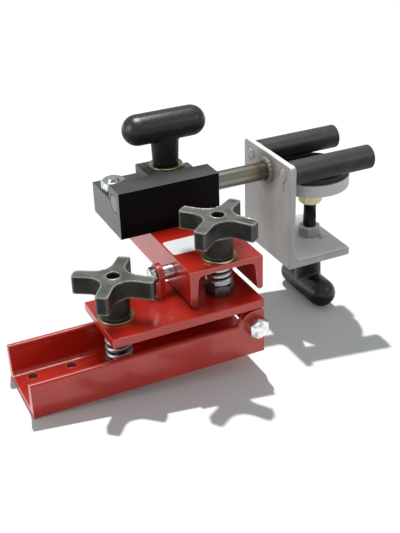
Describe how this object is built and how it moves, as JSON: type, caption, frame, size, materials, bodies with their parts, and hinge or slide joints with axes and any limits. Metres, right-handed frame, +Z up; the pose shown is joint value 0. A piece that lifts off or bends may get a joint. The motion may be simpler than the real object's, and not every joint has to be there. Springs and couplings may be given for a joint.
{
  "type": "adjustable holding jig",
  "caption": "Bench holding jig: a hinged, screw-tilted channel arm grips a round rod that carries an angle clamp with two pegs over a screw-raised pad.",
  "frame": {"origin": "centre of the four mounting holes on the flat underside of the base channel", "axes": "+X along the base towards its hinge, +Y from the front flange to the back flange, +Z up from the bench"},
  "size_m": [0.4084, 0.1935, 0.2389],
  "materials": {
    "red_paint": "glossy powder coat",
    "bright_zinc": "bright zinc plated",
    "dark_steel": "dark plain steel",
    "spring_zinc": "zinc plated wire",
    "yellow_zinc": "yellow zinc plated",
    "knob_iron": "tumbled casting",
    "black_oxide": "satin black oxide",
    "black_plastic": "pebbled",
    "turned_steel": "bright drawn steel",
    "grey_paint": "satin grey paint",
    "black_rubber": "matte",
    "white_label": "blank sticker"
  },
  "bodies": {
    "base": {"base_channel": "red_paint", "base_ear_front": "red_paint", "base_ear_back": "red_paint", "hinge_bolt": "bright_zinc", "hinge_nut": "bright_zinc", "lock_nut_1": "dark_steel", "spring_1": "spring_zinc"},
    "tilt": {"tilt_plate": "red_paint", "hinge_leaf_front": "red_paint", "hinge_leaf_back": "red_paint", "pivot_lug_outer": "red_paint", "pivot_lug_inner": "red_paint", "pivot_bolt": "bright_zinc", "pivot_spacer": "bright_zinc", "knob_washer_1": "yellow_zinc", "lock_nut_2": "dark_steel", "spring_2": "spring_zinc"},
    "knob_1": {"star_knob_1": "knob_iron", "stud_1": "dark_steel"},
    "arm": {"arm_channel": "red_paint", "label_plate": "white_label", "clamp_block": "black_oxide", "side_bolt": "bright_zinc", "side_nut": "bright_zinc", "block_screws": "bright_zinc", "knob_washer_2": "yellow_zinc", "jaw_nut": "bright_zinc"},
    "knob_2": {"star_knob_2": "knob_iron", "stud_2": "dark_steel"},
    "jaw_screw": {"jaw_washer": "yellow_zinc"},
    "upper_handle": {"upper_t_handle": "black_plastic", "jaw_stud": "bright_zinc"},
    "rod": {"slide_rod": "turned_steel"},
    "clamp": {"rod_weld": "turned_steel", "clamp_angle": "grey_paint", "peg_core_front": "turned_steel", "peg_core_back": "turned_steel", "peg_sleeve_front": "black_rubber", "peg_sleeve_back": "black_rubber", "leg_nut": "grey_paint"},
    "pad": {"pad_disc": "grey_paint", "pad_rubber": "black_rubber"},
    "lower_handle": {"lower_t_handle": "black_plastic", "clamp_screw": "dark_steel", "pad_nut": "yellow_zinc"}
  },
  "joints": [
    {"name": "tilt_hinge", "type": "hinge", "parent": "base", "child": "tilt", "pos_m": [0.1891, 0, 0.0314], "axis": [0, 1, 0], "range_deg": [-2.5, 2], "deforming": ["spring_1"]},
    {"name": "knob_1_spin", "type": "hinge", "parent": "tilt", "child": "knob_1", "pos_m": [0.0614, -0.0007, 0.059], "axis": [0, 0, 1], "range_deg": [-1023, 818]},
    {"name": "arm_pivot", "type": "hinge", "parent": "tilt", "child": "arm", "pos_m": [0.1669, 0.0179, 0.0815], "axis": [1, 0, 0], "range_deg": [-4.5, 2.8], "deforming": ["spring_2"]},
    {"name": "knob_2_spin", "type": "hinge", "parent": "arm", "child": "knob_2", "pos_m": [0.1671, -0.0041, 0.0973], "axis": [0, 0, 1], "range_deg": [-197, 317]},
    {"name": "jaw_travel", "type": "slide", "parent": "arm", "child": "jaw_screw", "axis": [0, 0, 1], "range_m": [0, 0.00196]},
    {"name": "upper_handle_spin", "type": "hinge", "parent": "jaw_screw", "child": "upper_handle", "pos_m": [0.1672, 0.1155, 0.149], "axis": [0, 0, 1], "range_deg": [0, 360]},
    {"name": "rod_slide", "type": "slide", "parent": "arm", "child": "rod", "axis": [1, 0, 0], "range_m": [-0.045, 0.05]},
    {"name": "clamp_turn", "type": "hinge", "parent": "rod", "child": "clamp", "pos_m": [0.26, 0.0857, 0.131], "axis": [1, 0, 0], "continuous": true},
    {"name": "pad_travel", "type": "slide", "parent": "clamp", "child": "pad", "axis": [0, 0, 1], "range_m": [-0.028, 0.0005]},
    {"name": "lower_handle_spin", "type": "hinge", "parent": "pad", "child": "lower_handle", "pos_m": [0.3231, 0.0857, 0], "axis": [0, 0, 1], "range_deg": [-4760, 85]}
  ],
  "couplings": [
    {"joint": "tilt_hinge", "follows": "knob_1_spin", "ratio": 0.0024351},
    {"joint": "arm_pivot", "follows": "knob_2_spin", "ratio": -0.014135},
    {"joint": "jaw_travel", "follows": "upper_handle_spin", "m_per_rad": 0.00031096},
    {"joint": "pad_travel", "follows": "lower_handle_spin", "m_per_rad": 0.00033688}
  ]
}
